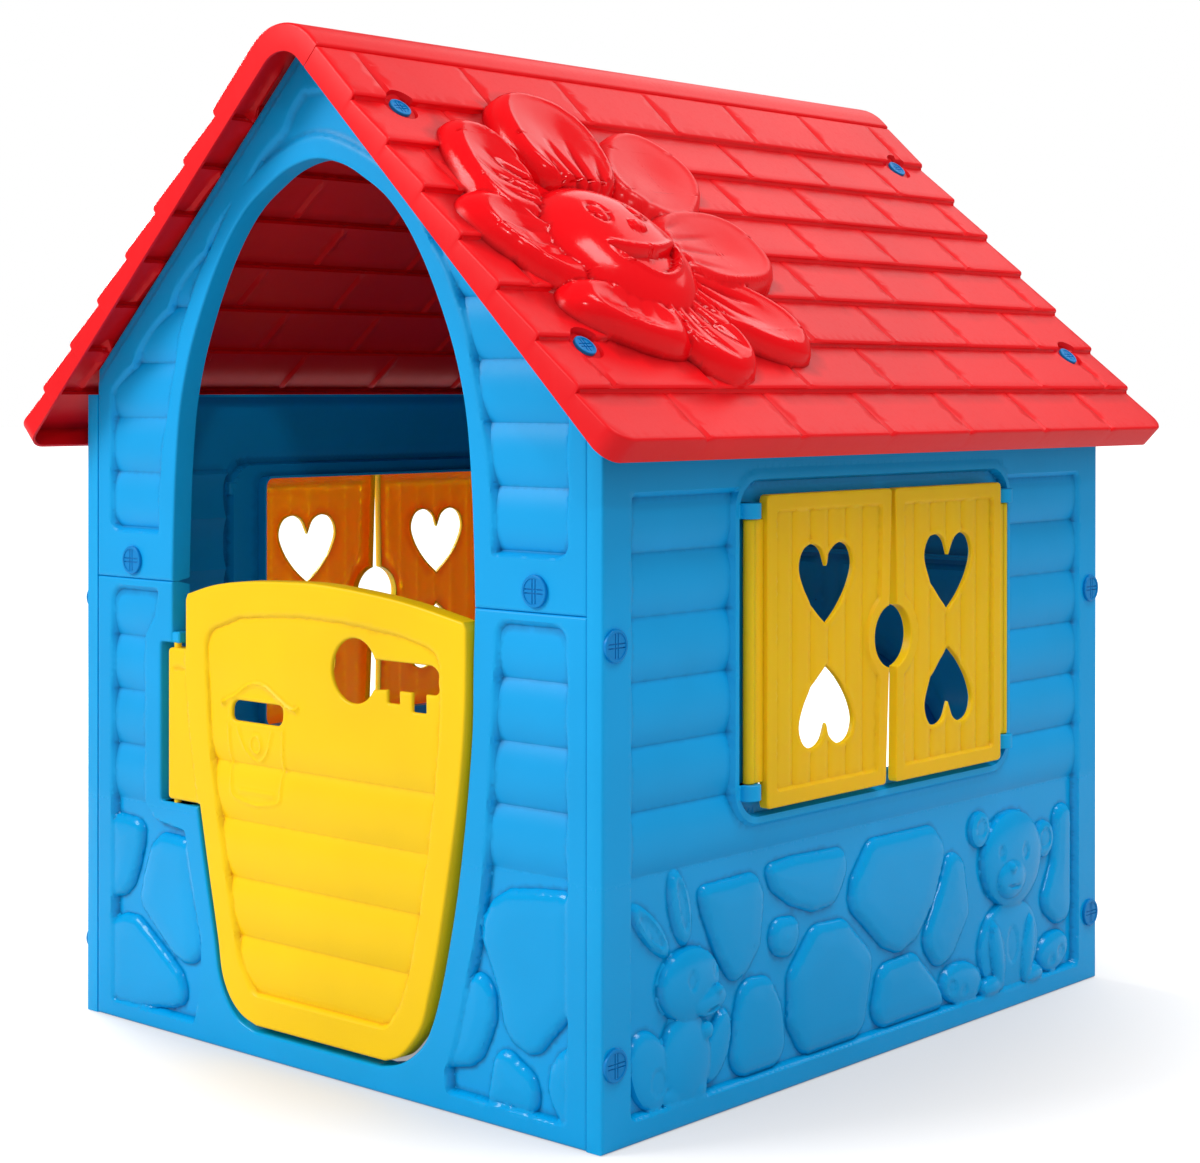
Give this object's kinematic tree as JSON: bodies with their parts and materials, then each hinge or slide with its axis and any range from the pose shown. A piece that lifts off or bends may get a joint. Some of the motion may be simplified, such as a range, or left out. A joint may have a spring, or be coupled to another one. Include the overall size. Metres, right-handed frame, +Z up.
{
  "type": "plastic playhouse",
  "caption": "Child's garden playhouse with log-effect walls, arched entrance, hinged half door, heart-cut window shutters, back crawl-through and tiled gable roof.",
  "frame": {"origin": "on the ground at the centre of the house", "axes": "+X to the right seen from the front, front wall faces -Y, +Z up; ridge runs along Y"},
  "size_m": [0.9, 0.982, 1.06],
  "materials": {
    "wall": "semi-gloss moulded, sky blue",
    "roof": "semi-gloss moulded, bright red",
    "door": "semi-gloss moulded, yellow",
    "shutter": "semi-gloss moulded, yellow",
    "screw": "semi-gloss moulded, sky blue"
  },
  "bodies": {
    "house": {"front_wall_upper": "wall", "front_wall_lower": "wall", "back_wall_upper": "wall", "back_wall_lower": "wall", "side_wall_right": "wall", "side_wall_left": "wall", "roof_panel_right": "roof", "roof_panel_left": "roof", "screw_seam_front_left": "screw", "screw_seam_front_right": "screw", "screw_seam_back_left": "screw", "screw_seam_back_right": "screw", "screw_corner_front_right_low": "screw", "screw_corner_front_right_high": "screw", "screw_corner_front_left_low": "screw", "screw_corner_front_left_high": "screw", "screw_corner_back_right_low": "screw", "screw_corner_back_right_high": "screw", "screw_corner_back_left_low": "screw", "screw_corner_back_left_high": "screw", "screw_roof_front_right_high": "screw", "screw_roof_front_right_low": "screw", "screw_roof_front_left_high": "screw", "screw_roof_front_left_low": "screw", "screw_roof_back_right_high": "screw", "screw_roof_back_right_low": "screw", "screw_roof_back_left_high": "screw", "screw_roof_back_left_low": "screw"},
    "door": {"door": "door", "door_letter_collar": "door"},
    "shutter_right_front": {"shutter_right_front": "shutter"},
    "shutter_right_rear": {"shutter_right_rear": "shutter"},
    "shutter_left_front": {"shutter_left_front": "shutter"},
    "shutter_left_rear": {"shutter_left_rear": "shutter"}
  },
  "joints": [
    {"name": "door_hinge", "type": "hinge", "parent": "house", "child": "door", "pos_m": [-0.231, -0.4355, 0.335], "axis": [0, 0, -1], "range_deg": [0, 110]},
    {"name": "shutter_right_front_hinge", "type": "hinge", "parent": "house", "child": "shutter_right_front", "pos_m": [0.387, -0.229, 0.44], "axis": [0, 0, -1], "range_deg": [0, 150]},
    {"name": "shutter_right_rear_hinge", "type": "hinge", "parent": "house", "child": "shutter_right_rear", "pos_m": [0.387, 0.229, 0.44], "axis": [0, 0, 1], "range_deg": [0, 150]},
    {"name": "shutter_left_front_hinge", "type": "hinge", "parent": "house", "child": "shutter_left_front", "pos_m": [-0.387, -0.229, 0.44], "axis": [0, 0, 1], "range_deg": [0, 150]},
    {"name": "shutter_left_rear_hinge", "type": "hinge", "parent": "house", "child": "shutter_left_rear", "pos_m": [-0.387, 0.229, 0.44], "axis": [0, 0, -1], "range_deg": [0, 150]}
  ]
}
